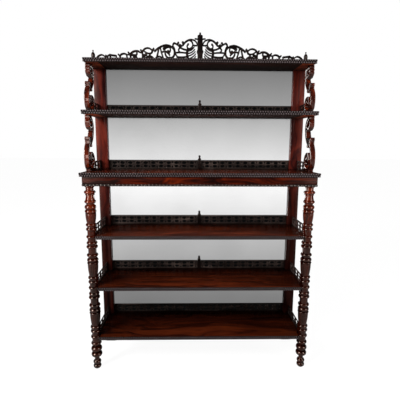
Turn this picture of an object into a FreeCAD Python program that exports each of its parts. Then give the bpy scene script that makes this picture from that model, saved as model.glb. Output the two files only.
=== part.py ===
import FreeCAD, Part
import math
import os
import Sketcher

from FreeCAD import Placement, Rotation, Vector

# Driving sizes in millimetres: insets and setbacks run in from the middle shelf, rises from shelf to shelf
SIZES = {
    "middle_width": 1225.0,
    "middle_depth": 321.0,
    "upper_inset": 9.5,
    "upper_setback": 52.0,
    "top_setback": 65.5,
    "lower_overlap": 1.0,
    "lower_setback": 13.0,
    "bottom_height": 199.5,
    "fifth_rise": 284.0,
    "fourth_rise": 283.0,
    "middle_rise": 332.0,
    "upper_rise": 313.5,
    "top_rise": 266.0,
    "shelf_thickness": 19.0,
    "upper_thickness": 21.0,
    "edge_thickness": 8.0,
    "joint_gap": 0.3,
    "cut_overrun": 5.0,
    # Rear frame
    "stile_inset": 23.5,
    "stile_width": 59.0,
    "upper_stile_width": 66.0,
    "stile_forward": 33.0,
    "stile_foot_depth": 16.0,
    "rebate_width": 8.0,
    "mirror_thickness": 4.0,
    "board_thickness": 9.0,
    # Frieze under the middle shelf
    "frieze_inset": 11.5,
    "frieze_setback": 12.0,
    "frieze_height": 37.5,
    "rail_thickness": 18.0,
    "bead_height": 11.0,
    "bead_proud": 3.0,
    "block_width": 40.0,
    "block_depth": 55.0,
    # Turned columns: a core, and how far the turnings stand out from it or go in
    "column_inset": 38.5,
    "column_setback": 50.0,
    "column_core_radius": 21.5,
    "column_neck_drop": 1.0,
    "column_ring_rise": 6.5,
    "column_collar_rise": 8.2,
    "column_bead_rise": 3.0,
    "column_cap_rise": 7.0,
    "column_cap_height": 10.0,
    "vase_top_rise": 6.0,
    "vase_foot_rise": 0.5,
    "vase_swell": 1.5,
    "ball_neck_drop": 6.0,
    "foot_neck_drop": 9.0,
    "foot_drop": 7.5,
    # Scroll supports of the two upper bays
    "scroll_thickness": 27.0,
    "scroll_inset": 1.0,
    "top_scroll_setback": 62.0,
    "top_scroll_depth": 129.5,
    "upper_scroll_setback": 67.0,
    "upper_scroll_depth": 133.0,
    # Pierced galleries
    "gallery_height": 51.5,
    "gallery_thickness": 3.5,
    "gallery_rail": 8.0,
    "gallery_bar": 4.0,
    "gallery_pitch": 45.0,
    "gallery_lap": 30.0,
    "lower_gallery_inset": 14.0,
    # Small posts in the middle of the back galleries
    "post_width": 20.0,
    "post_thickness": 12.0,
    "post_shoulder_rise": 6.5,
    "post_rise": 28.0,
    "post_neck_width": 8.0,
    "post_ball_width": 13.0,
    # Crest on the top shelf
    "crest_inset": 9.0,
    "crest_height": 140.0,
    "crest_thickness": 14.0,
    "crest_forward": 26.0,
    "crest_rail_height": 10.0,
    "crest_band": 6.6,
    "crest_post_width": 29.0,
    "crest_collar_width": 38.0,
    "crest_shoulder_rise": 17.0,
    "crest_post_rise": 33.0,
    "crest_post_thickness": 22.0,
    "crest_neck_width": 6.0,
    "crest_ball_width": 10.0,
    "corner_base_radius": 9.0,
    "corner_body_rise": 1.5,
    "corner_waist_drop": 2.0,
    "corner_neck_radius": 2.5,
    "corner_swell": 3.0,
    "corner_ball_radius": 4.0,
    "corner_height": 78.0,
    # Dowels
    "dowel_radius": 4.0,
    "dowel_depth": 8.0,
    "dowel_inset": 20.0,
}

doc = FreeCAD.newDocument("Etagere")
sheet = doc.addObject("Spreadsheet::Sheet", "Sizes")
for row, (alias, length) in enumerate(SIZES.items(), start=1):
    sheet.set(f"A{row}", alias)
    sheet.set(f"B{row}", str(length))
    sheet.setAlias(f"B{row}", alias)
doc.recompute()


class Size:
    """A length that knows its value and the sheet expression that gives it."""

    def __init__(self, value, text):
        self.value = float(value)
        self.text = text

    def __add__(self, other):
        other = as_size(other)
        return Size(self.value + other.value, f"({self.text} + {other.text})")

    def __sub__(self, other):
        other = as_size(other)
        return Size(self.value - other.value, f"({self.text} - {other.text})")

    def __mul__(self, other):
        other = as_size(other)
        return Size(self.value * other.value, f"({self.text} * {other.text})")

    def __truediv__(self, other):
        other = as_size(other)
        return Size(self.value / other.value, f"({self.text} / {other.text})")

    def __radd__(self, other):
        return as_size(other) + self

    def __rsub__(self, other):
        return as_size(other) - self

    def __rmul__(self, other):
        return as_size(other) * self

    def __neg__(self):
        return self * -1

    def __float__(self):
        return self.value


def as_size(length):
    return length if isinstance(length, Size) else Size(length, f"({float(length)})")


class Sheet:
    """Gives each size of the sheet by its alias."""

    def __getattr__(self, alias):
        return Size(sheet.get(alias), f"Sizes.{alias}")


at = Sheet()
sub_parts = {}
bores = {}
dowels = []


# Helpers that make bound document objects
def bind(item, name, length):
    item.setExpression(name, as_size(length).text)


def place(item, spot, rotation=Rotation()):
    item.Placement = Placement(Vector(*[float(length) for length in spot]), rotation)
    for axis, length in zip("xyz", spot):
        bind(item, f"Placement.Base.{axis}", length)


def box(name, low, high):
    item = doc.addObject("Part::Box", name)
    for side, start, end in zip(("Length", "Width", "Height"), low, high):
        bind(item, side, as_size(end) - start)
    place(item, low)
    return item


QUARTER = Rotation(Vector(0, 0, 1), 90)
TURN = {"x": Rotation(Vector(0, 1, 0), 90), "y": Rotation(Vector(1, 0, 0), -90), "z": Rotation()}


def rod(name, middle, axis, radius, half_length):
    item = doc.addObject("Part::Cylinder", name)
    bind(item, "Radius", radius)
    bind(item, "Height", half_length * 2)
    start = [as_size(spot) - half_length if axis == along else spot for along, spot in zip("xyz", middle)]
    place(item, start, TURN[axis])
    return item


def group(name, members):
    item = doc.addObject("Part::Compound", name)
    item.Links = members
    return item


def cut(name, base, tool):
    item = doc.addObject("Part::Cut", name)
    item.Base = base
    item.Tool = tool
    return item


def keep(node, item):
    sub_parts[node] = item
    bores[node] = []


def dowel(first, second, middle, axis):
    """Puts one dowel across the joint of two sub-parts, with a bore in each."""
    count = len(dowels)
    dowels.append(rod(f"dowel_{count}", middle, axis, at.dowel_radius, at.dowel_depth))
    radius = at.dowel_radius + at.joint_gap
    half_length = at.dowel_depth + at.joint_gap
    for node in (first, second):
        bores[node].append(rod(f"bore_{count}_{node}", middle, axis, radius, half_length))


# Sketch outlines: each corner is (x, y) or (x, y, rise), where rise bows the side that follows to its left
def bowed(start, end, rise):
    """The arc from start to end that leaves their chord by its rise, to the left of travel."""
    chord = end - start
    half = chord.Length / 2
    radius = (half * half + rise * rise) / (2 * rise)
    left = Vector(-chord.y, chord.x, 0).normalize()
    centre = (start + end) / 2 + left * (rise - radius)
    angles = [math.atan2(point.y - centre.y, point.x - centre.x) for point in (end, start)]
    return Part.ArcOfCircle(Part.Circle(centre, Vector(0, 0, 1), radius), angles[0], angles[1])


def draw(sketch, corners):
    """Draws a closed outline whose corners and arc radii are all bound to the sheet."""
    corners = [tuple(as_size(length) for length in corner) for corner in corners]
    points = [Vector(corner[0].value, corner[1].value, 0) for corner in corners]
    sides = []
    ends = []
    for corner, start, end in zip(corners, points, points[1:] + points[:1]):
        is_arc = len(corner) == 3
        sides.append(bowed(start, end, corner[2].value) if is_arc else Part.LineSegment(start, end))
        ends.append((2, 1) if is_arc else (1, 2))
    sketch.addGeometry(sides, False)
    constraints = []
    bound = {}
    for index, corner in enumerate(corners):
        before = (index - 1) % len(corners)
        after = corners[(index + 1) % len(corners)]
        end = ends[index][0]
        constraints.append(Sketcher.Constraint("Coincident", before, ends[before][1], index, end))
        for kind, axis, length in (("DistanceX", -2, corner[0]), ("DistanceY", -1, corner[1])):
            if length.value == 0:
                constraints.append(Sketcher.Constraint("PointOnObject", index, end, axis))
                continue
            bound[len(constraints)] = length
            constraints.append(Sketcher.Constraint(kind, -1, 1, index, end, length.value))
        if len(corner) == 3:
            across = after[0] - corner[0]
            along = after[1] - corner[1]
            rise = corner[2]
            radius = ((across * across + along * along) / 4 + rise * rise) / (rise * 2)
            bound[len(constraints)] = radius
            constraints.append(Sketcher.Constraint("Radius", index, radius.value))
    sketch.addConstraint(constraints)
    for number, length in bound.items():
        bind(sketch, f"Constraints[{number}]", length)


def sketched(body, name, role):
    sketch = body.newObject("Sketcher::SketchObject", name)
    plane = [feature for feature in body.Origin.OriginFeatures if feature.Role == role][0]
    sketch.AttachmentSupport = [(plane, "")]
    sketch.MapMode = "FlatFace"
    return sketch


def padded(name, corners, role, thickness, spot, midplane=False):
    body = doc.addObject("PartDesign::Body", name)
    sketch = sketched(body, name + "_outline", role)
    draw(sketch, corners)
    pad = body.newObject("PartDesign::Pad", name + "_pad")
    pad.Profile = sketch
    pad.Midplane = midplane
    bind(pad, "Length", thickness)
    place(body, spot)
    return body


def turned(name, outlines, spot):
    """One turned piece; a long profile is drawn as several outlines, one above the other."""
    body = doc.addObject("PartDesign::Body", name)
    for count, corners in enumerate(outlines):
        sketch = sketched(body, f"{name}_profile_{count}", "XZ_Plane")
        draw(sketch, corners)
        turn = body.newObject("PartDesign::Revolution", f"{name}_turning_{count}")
        turn.Profile = sketch
        turn.ReferenceAxis = (sketch, ["V_Axis"])
        turn.Angle = 360
    place(body, spot)
    return body


# Planes that the sub-parts share
mirror_y = (at.middle_depth - at.mirror_thickness - at.board_thickness) / 2
mirror_back_y = mirror_y + at.mirror_thickness
rear_y = mirror_back_y + at.board_thickness
stile_front_y = mirror_y - at.stile_forward
middle_front_y = mirror_y - at.middle_depth
half_width = at.middle_width / 2
stile_outer_x = half_width - at.stile_inset
opening_x = stile_outer_x - at.stile_width
column_x = half_width - at.column_inset
column_y = middle_front_y + at.column_setback
ring_radius = at.column_core_radius + at.column_ring_rise
notch_radius = ring_radius + at.joint_gap
notch_x = column_x - notch_radius
SIDES = {"left": -1, "right": 1}

shelf_names = ["top", "upper", "middle", "fourth", "fifth", "bottom"]
whole_shelves = ("top", "middle")
lower_shelves = ("fourth", "fifth", "bottom")
height = {"bottom": at.bottom_height}
height["fifth"] = height["bottom"] + at.fifth_rise
height["fourth"] = height["fifth"] + at.fourth_rise
height["middle"] = height["fourth"] + at.middle_rise
height["upper"] = height["middle"] + at.upper_rise
height["top"] = height["upper"] + at.top_rise
thickness = {name: at.upper_thickness for name in shelf_names}
thickness.update({name: at.shelf_thickness for name in lower_shelves})
underside = {name: height[name] - thickness[name] for name in shelf_names}
shelf_end_x = {name: column_x + at.lower_overlap for name in lower_shelves}
shelf_end_x["middle"] = half_width
shelf_end_x["upper"] = half_width - at.upper_inset
shelf_end_x["top"] = shelf_end_x["upper"]
front_y = {name: middle_front_y + at.lower_setback for name in lower_shelves}
front_y["middle"] = middle_front_y
front_y["upper"] = middle_front_y + at.upper_setback
front_y["top"] = front_y["upper"] + at.top_setback
frieze_top = underside["middle"]
frieze_bottom = frieze_top - at.frieze_height
column_top = frieze_bottom - at.bead_height


# Shelves: whole boards cap the two stages, the others are notched round the stiles and columns
def whole_shelf(name):
    half = shelf_end_x[name] - at.edge_thickness
    low = (-half, front_y[name] + at.edge_thickness, underside[name])
    return box(name + "_board", low, (half, rear_y, height[name]))


def notched_shelf(name):
    half = shelf_end_x[name] - at.edge_thickness
    front = front_y[name] + at.edge_thickness
    right = [(opening_x, mirror_back_y), (opening_x, stile_front_y), (half, stile_front_y)]
    if name in lower_shelves:
        right += [(half, column_y), (notch_x, column_y), (notch_x, front)]
    else:
        right += [(half, front)]
    corners = [(-x, y) for x, y in right] + right[::-1]
    body = padded(name + "_board", corners, "XY_Plane", thickness[name], (0, 0, underside[name]))
    if name not in lower_shelves:
        return body
    bites = []
    for side, sign in SIDES.items():
        middle = (sign * column_x, column_y, underside[name] + at.shelf_thickness / 2)
        bites.append(rod(f"{name}_{side}_bite", middle, "z", notch_radius, at.shelf_thickness))
    return cut(name + "_bitten_board", body, group(name + "_bites", bites))


for name in shelf_names:
    keep(name + "_shelf", whole_shelf(name) if name in whole_shelves else notched_shelf(name))


# Edge mouldings: one strip along the front and one along each end of every shelf
def edge_moulding(name):
    low = underside[name]
    top = height[name]
    front = front_y[name]
    strip_back = front + at.edge_thickness
    outer = shelf_end_x[name]
    inner = outer - at.edge_thickness
    front_half = notch_x if name in lower_shelves else outer
    end_front = column_y + notch_radius if name in lower_shelves else strip_back
    end_back = rear_y if name in whole_shelves else stile_front_y
    strips = [box(name + "_front_strip", (-front_half, front, low), (front_half, strip_back, top))]
    strips.append(box(name + "_left_strip", (-outer, end_front, low), (-inner, end_back, top)))
    strips.append(box(name + "_right_strip", (inner, end_front, low), (outer, end_back, top)))
    return group(name + "_strips", strips)


for name in shelf_names:
    keep(name + "_shelf_moulding", edge_moulding(name))


# Frieze rails, the bead moulding under them and the blocks that the columns are dowelled into
frieze_half = half_width - at.frieze_inset
rail_inner_x = frieze_half - at.rail_thickness
frieze_front_y = middle_front_y + at.frieze_setback
rail_back_y = frieze_front_y + at.rail_thickness
bead_half = frieze_half + at.bead_proud
bead_front_y = frieze_front_y - at.bead_proud
keep("front_frieze_rail", box(
    "front_rail", (-frieze_half, frieze_front_y, frieze_bottom), (frieze_half, rail_back_y, frieze_top)))
keep("left_frieze_rail", box(
    "left_rail", (-frieze_half, rail_back_y, frieze_bottom), (-rail_inner_x, stile_front_y, frieze_top)))
keep("right_frieze_rail", box(
    "right_rail", (rail_inner_x, rail_back_y, frieze_bottom), (frieze_half, stile_front_y, frieze_top)))
back_rail_y = mirror_y - at.rail_thickness
keep("back_frieze_rail", box(
    "back_rail", (-opening_x, back_rail_y, frieze_bottom), (opening_x, mirror_y, frieze_top)))
keep("frieze_bead_moulding", group("bead_strips", [
    box("front_bead", (-bead_half, bead_front_y, column_top), (bead_half, rail_back_y, frieze_bottom)),
    box("left_bead", (-bead_half, rail_back_y, column_top), (-rail_inner_x, stile_front_y, frieze_bottom)),
    box("right_bead", (rail_inner_x, rail_back_y, column_top), (bead_half, stile_front_y, frieze_bottom)),
]))
block_inner_x = rail_inner_x - at.block_width
block_back_y = rail_back_y + at.block_depth
keep("frieze_corner_blocks", group("blocks", [
    box("left_block", (-rail_inner_x, rail_back_y, column_top), (-block_inner_x, block_back_y, frieze_top)),
    box("right_block", (block_inner_x, rail_back_y, column_top), (rail_inner_x, block_back_y, frieze_top)),
]))


# Stiles, rebated at the back for the mirrors and back boards
def stile(name, sign, low, top, rebate_low, wide):
    near_x = opening_x if sign > 0 else -opening_x - wide
    rebate_x = opening_x + at.rebate_width
    open_x = opening_x - at.cut_overrun
    cleared = (open_x, rebate_x) if sign > 0 else (-rebate_x, -open_x)
    corners = [(stile_front_y, top), (rear_y, top), (rear_y, low)]
    if low.value > 0:
        corners.append((stile_front_y, low))
    else:
        corners += [(rear_y - at.stile_foot_depth, low), (stile_front_y, underside["bottom"])]
    blank = padded(name + "_blank", corners, "YZ_Plane", wide, (near_x, 0, 0))
    rebate = box(
        name + "_rebate",
        (cleared[0], mirror_y, rebate_low),
        (cleared[1], rear_y + at.cut_overrun, top + at.cut_overrun),
    )
    return cut(name + "_rebated", blank, rebate)


for side, sign in SIDES.items():
    keep(f"{side}_upper_stile", stile(
        f"{side}_upper_stile", sign, height["middle"], underside["top"], height["middle"] - at.cut_overrun,
        at.upper_stile_width))
    keep(f"{side}_lower_stile", stile(
        f"{side}_lower_stile", sign, as_size(0), underside["middle"], underside["bottom"], at.stile_width))

# Mirror plates stand on the shelves, and a back board closes each stage behind them
plate_half = opening_x + at.rebate_width - at.joint_gap
bay_names = ["top", "second", "third", "fourth", "bottom"]
bays = list(zip(bay_names, shelf_names[:-1], shelf_names[1:]))
for bay, over, under in bays:
    low = (-plate_half, mirror_y, height[under])
    keep(bay + "_bay_mirror", box(bay + "_plate", low, (plate_half, mirror_back_y, underside[over])))
for stage, board_low, board_top in (
    ("upper", height["middle"], underside["top"]),
    ("lower", underside["bottom"], underside["middle"]),
):
    low = (-plate_half, mirror_back_y, board_low)
    keep(stage + "_back_board", box(stage + "_board", low, (plate_half, rear_y, board_top)))


# Turned columns: rings, collars and vases at shares of each section's height, down from its top
RING_SHARE = 0.061
BEAD_RING_SHARE = 0.032
HEAD_SHARES = (0.13, 0.2, 0.32, 0.45, 0.515, 0.541, 0.75, 0.79, 0.88)
BAY_SHARES = (0.152, 0.226, 0.39, 0.474, 0.533, 0.56, 0.79, 0.83, 0.915)
FOOT_SHARES = (0.241, 0.41, 0.575, 0.67, 0.74, 0.81, 0.935)
FOOT_RING_SHARES = (0.084, 0.148, 0.113)
core = at.column_core_radius
neck = core - at.column_neck_drop
collar = core + at.column_collar_rise
bead = core + at.column_bead_rise
foot_radius = core - at.foot_drop
foot_neck = core - at.foot_neck_drop
ball_neck = core - at.ball_neck_drop


def ring(spot, radius, tall, base):
    return [(base, spot + tall / 2, radius - base), (base, spot - tall / 2)]


def heights_at(shares, top, low):
    return [top - (top - low) * share for share in shares]


def vase_and_rings(spots, tall, shelf_ring):
    """The lower part that the sections share, down to the ring that the shelf is let in round."""
    collar_z, bulb_z, bead_z, vase_top_z, vase_foot_z, first_z, second_z = spots
    corners = ring(collar_z, collar, tall * RING_SHARE, core)
    corners += ring(bulb_z, collar, tall * RING_SHARE, neck)
    corners += ring(bead_z, collar, tall * BEAD_RING_SHARE, bead)
    corners.append((core + at.vase_top_rise, vase_top_z, at.vase_swell))
    corners.append((core + at.vase_foot_rise, vase_foot_z))
    for ring_z in (first_z, second_z, shelf_ring):
        corners += ring(ring_z, ring_radius, tall * RING_SHARE, core)
    return corners


def head_section():
    tall = column_top - height["fourth"]
    cap_ring_z, cap_bead_z, *spots = heights_at(HEAD_SHARES, column_top, height["fourth"])
    cap_low = column_top - at.column_cap_height
    corners = [(0, column_top), (core + at.column_cap_rise, column_top), (neck, cap_low)]
    corners += ring(cap_ring_z, collar, tall * RING_SHARE, neck)
    corners += ring(cap_bead_z, bead, tall * BEAD_RING_SHARE, neck)
    corners += vase_and_rings(spots, tall, height["fourth"] - at.shelf_thickness / 2)
    return corners + [(core, underside["fourth"]), (0, underside["fourth"])]


def bay_section(over, under):
    tall = height[over] - height[under]
    low_ring_z, low_collar_z, *spots = heights_at(BAY_SHARES, height[over], height[under])
    corners = [(0, underside[over]), (core, underside[over])]
    corners += ring(low_ring_z, ring_radius, tall * RING_SHARE, core)
    corners += ring(low_collar_z, collar, tall * RING_SHARE, core)
    corners += vase_and_rings(spots, tall, height[under] - at.shelf_thickness / 2)
    return corners + [(core, underside[under]), (0, underside[under])]


def foot_section():
    ring_tall, ball_tall, foot_ball_tall = [height["bottom"] * share for share in FOOT_RING_SHARES]
    spots = heights_at(FOOT_SHARES, height["bottom"], as_size(0))
    ring_z, ball_z, low_ball_z, neck_top_z, neck_foot_z, foot_ball_z, low_foot_ball_z = spots
    corners = [(0, underside["bottom"]), (core, underside["bottom"])]
    corners += ring(ring_z, ring_radius, ring_tall, core)
    corners += ring(ball_z, collar, ball_tall, ball_neck)
    corners += ring(low_ball_z, collar, ball_tall, ball_neck)
    corners += [(foot_neck, neck_top_z), (foot_neck, neck_foot_z)]
    corners += ring(foot_ball_z, core, foot_ball_tall, foot_radius)
    corners += ring(low_foot_ball_z, core, foot_ball_tall, foot_radius)
    return corners + [(foot_radius, 0), (0, 0)]


column_sections = [
    head_section(),
    bay_section("fourth", "fifth"),
    bay_section("fifth", "bottom"),
    foot_section(),
]
for side, sign in SIDES.items():
    keep(side + "_column", turned(side + "_turned_column", column_sections, (sign * column_x, column_y, 0)))


# Sawn bands: each is an arc through three points, with a width, and ends that are round
def band(start, middle, end, band_width):
    """The face of one curved band in the XZ plane."""
    half = band_width / 2
    arc = Part.Arc(start, middle, end).toShape().Curve
    centre = arc.Center
    outer = []
    inner = []
    for point in (start, middle, end):
        away = (point - centre).normalize() * half
        outer.append(point + away)
        inner.append(point - away)
    turn = arc.Axis
    start_tip = start - turn.cross((start - centre).normalize()) * half
    end_tip = end + turn.cross((end - centre).normalize()) * half
    edges = [
        Part.Arc(outer[0], outer[1], outer[2]).toShape(),
        Part.Arc(outer[2], end_tip, inner[2]).toShape(),
        Part.Arc(inner[2], inner[1], inner[0]).toShape(),
        Part.Arc(inner[0], start_tip, outer[0]).toShape(),
    ]
    return Part.Face(Part.Wire(edges))


def disc(middle, radius):
    return Part.Face(Part.Wire(Part.Circle(middle, Vector(0, 1, 0), radius).toShape()))


def plate(low, high):
    near = Vector(high.x, 0, low.z)
    far = Vector(low.x, 0, high.z)
    return Part.Face(Part.makePolygon([low, near, high, far, low]))


def sawn(faces, thickness):
    """Joins flat faces in the XZ plane and gives them a thickness towards +Y."""
    whole = faces[0].multiFuse(faces[1:]).removeSplitter()
    solids = [face.extrude(Vector(0, thickness, 0)) for face in whole.Faces]
    return solids[0] if len(solids) == 1 else solids[0].multiFuse(solids[1:]).removeSplitter()


def shaped(node, shape, spot, rotation=Rotation()):
    item = doc.addObject("Part::Feature", node + "_shape")
    item.Shape = shape
    place(item, spot, rotation)
    return item


# Scroll supports: shares of the support's depth, from its rear, and of its height
SCROLL_BAND_SHARES = [
    # Front bow and the curl that brings it back
    ((0.56, 0.965), (0.655, 0.885), (0.58, 0.80), 0.10),
    ((0.58, 0.80), (0.43, 0.765), (0.27, 0.775), 0.085),
    # Rear bow that carries down to the ledge
    ((0.46, 0.955), (0.225, 0.85), (0.235, 0.70), 0.16),
    ((0.235, 0.70), (0.34, 0.60), (0.58, 0.505), 0.17),
    # Front sweep under the ledge
    ((0.66, 0.52), (0.945, 0.30), (0.87, 0.09), 0.105),
    # Volute that curls up behind it
    ((0.87, 0.09), (0.53, 0.035), (0.20, 0.11), 0.105),
    ((0.20, 0.11), (0.25, 0.265), (0.47, 0.325), 0.10),
    ((0.47, 0.325), (0.71, 0.25), (0.62, 0.15), 0.09),
    ((0.62, 0.15), (0.47, 0.14), (0.44, 0.21), 0.08),
]
SCROLL_PLATE_SHARES = [
    ((0.36, 0.955), (0.68, 1.0)),
    ((0.44, 0.56), (0.83, 0.62)),
    ((0.48, 0.50), (0.80, 0.565)),
    ((0.02, 0.0), (0.82, 0.045)),
]
SCROLL_EYE_SHARES = [((0.42, 0.81), 0.065), ((0.50, 0.215), 0.075), ((0.50, 0.462), 0.065)]


def scroll(deep, tall):
    def spot(shares):
        return Vector(-deep * shares[0], 0, tall * shares[1])

    faces = [band(spot(a), spot(b), spot(c), deep * share) for a, b, c, share in SCROLL_BAND_SHARES]
    for far, near in SCROLL_PLATE_SHARES:
        low = Vector(-deep * near[0], 0, tall * far[1])
        faces.append(plate(low, Vector(-deep * far[0], 0, tall * near[1])))
    faces += [disc(spot(shares), deep * share) for shares, share in SCROLL_EYE_SHARES]
    return sawn(faces, float(at.scroll_thickness))


SCROLL_BAYS = {
    "top": ("top", "upper", at.top_scroll_setback, at.top_scroll_depth),
    "second": ("upper", "middle", at.upper_scroll_setback, at.upper_scroll_depth),
}
scroll_outer = shelf_end_x["upper"] - at.scroll_inset
scroll_middle = scroll_outer - at.scroll_thickness / 2
scroll_rear_y = {}
for bay, (over, under, setback, deep) in SCROLL_BAYS.items():
    shape = scroll(float(deep), float(underside[over] - height[under]))
    scroll_rear_y[under] = front_y[under] + setback + deep
    for side, sign in SIDES.items():
        near_x = -scroll_outer + at.scroll_thickness if sign < 0 else scroll_outer
        keep(f"{bay}_bay_{side}_scroll", shaped(
            f"{bay}_bay_{side}_scroll",
            shape,
            (near_x, scroll_rear_y[under], height[under]),
            QUARTER,
        ))


# Galleries: a strip pierced by pairs of pointed ovals with a saltire between them
def lens(middle, half_length, half_height):
    left = middle - Vector(half_length, 0, 0)
    right = middle + Vector(half_length, 0, 0)
    rise = Vector(0, 0, half_height)
    return Part.Wire([
        Part.Arc(left, middle + rise, right).toShape(),
        Part.Arc(right, middle - rise, left).toShape(),
    ])


def loop(points):
    return Part.makePolygon(points + points[:1])


def gallery(length):
    tall = float(at.gallery_height)
    rail = float(at.gallery_rail)
    bar = float(at.gallery_bar)
    units = max(1, round((length - 2 * rail) / float(at.gallery_pitch)))
    pitch = (length - 2 * rail) / units
    field = tall - 2 * rail
    lens_share = 0.31
    saltire_share = 0.17
    lens_half = pitch * lens_share
    saltire_half = pitch * saltire_share - bar / 2
    lens_tall = (field - bar) / 4
    wires = [loop([Vector(0, 0, 0), Vector(length, 0, 0), Vector(length, 0, tall), Vector(0, 0, tall)])]
    for unit in range(units):
        middle = Vector(rail + pitch * (unit + 0.5), 0, tall / 2)
        for up in (-1, 1):
            wires.append(lens(middle + Vector(0, 0, up * (lens_tall + bar / 2)), lens_half, lens_tall))
        if unit == units - 1:
            continue
        cross = middle + Vector(pitch / 2, 0, 0)
        reach = field / 2
        for up in (-1, 1):
            tip = cross + Vector(0, 0, up * bar)
            edge = cross + Vector(0, 0, up * reach)
            wires.append(loop([tip, edge + Vector(saltire_half, 0, 0), edge - Vector(saltire_half, 0, 0)]))
    face = Part.makeFace(wires, "Part::FaceMakerBullseye")
    return face.extrude(Vector(0, float(at.gallery_thickness), 0))


gallery_front_y = mirror_y - at.gallery_thickness
back_gallery = gallery(float(opening_x * 2))
for name in shelf_names[1:]:
    keep(name + "_shelf_back_gallery", shaped(
        name + "_back_gallery", back_gallery, (-opening_x, gallery_front_y, height[name])))
    if name in lower_shelves:
        start_y = column_y + notch_radius
        outer_x = column_x - at.lower_gallery_inset + at.gallery_thickness / 2
    else:
        start_y = scroll_rear_y[name] - at.gallery_lap
        outer_x = scroll_outer - at.scroll_thickness
    side_gallery = gallery(float(stile_front_y - start_y))
    for side, sign in SIDES.items():
        near_x = outer_x if sign > 0 else -outer_x + at.gallery_thickness
        keep(f"{name}_shelf_{side}_gallery", shaped(
            f"{name}_{side}_gallery", side_gallery, (near_x, start_y, height[name]), QUARTER))


# Flat posts with a ball on a pointed shoulder
def post_outline(wide, shoulder, neck, ball, tall):
    neck_height = tall - ball
    bulge = (ball - neck) / 2
    left = [(-wide / 2, 0), (-wide / 2, shoulder), (-neck / 2, neck_height, bulge), (-neck / 2, tall)]
    right = [(neck / 2, tall, bulge), (neck / 2, neck_height), (wide / 2, shoulder), (wide / 2, 0)]
    return left + right


post_corners = post_outline(
    at.post_width,
    at.gallery_height + at.post_shoulder_rise,
    at.post_neck_width,
    at.post_ball_width,
    at.gallery_height + at.post_rise,
)
for name in ("upper", "middle", "fourth", "fifth"):
    keep(name + "_shelf_finial", padded(
        name + "_post", post_corners, "XZ_Plane", at.post_thickness, (0, gallery_front_y, height[name])))

finial_x = shelf_end_x["top"] - at.crest_inset

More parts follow.
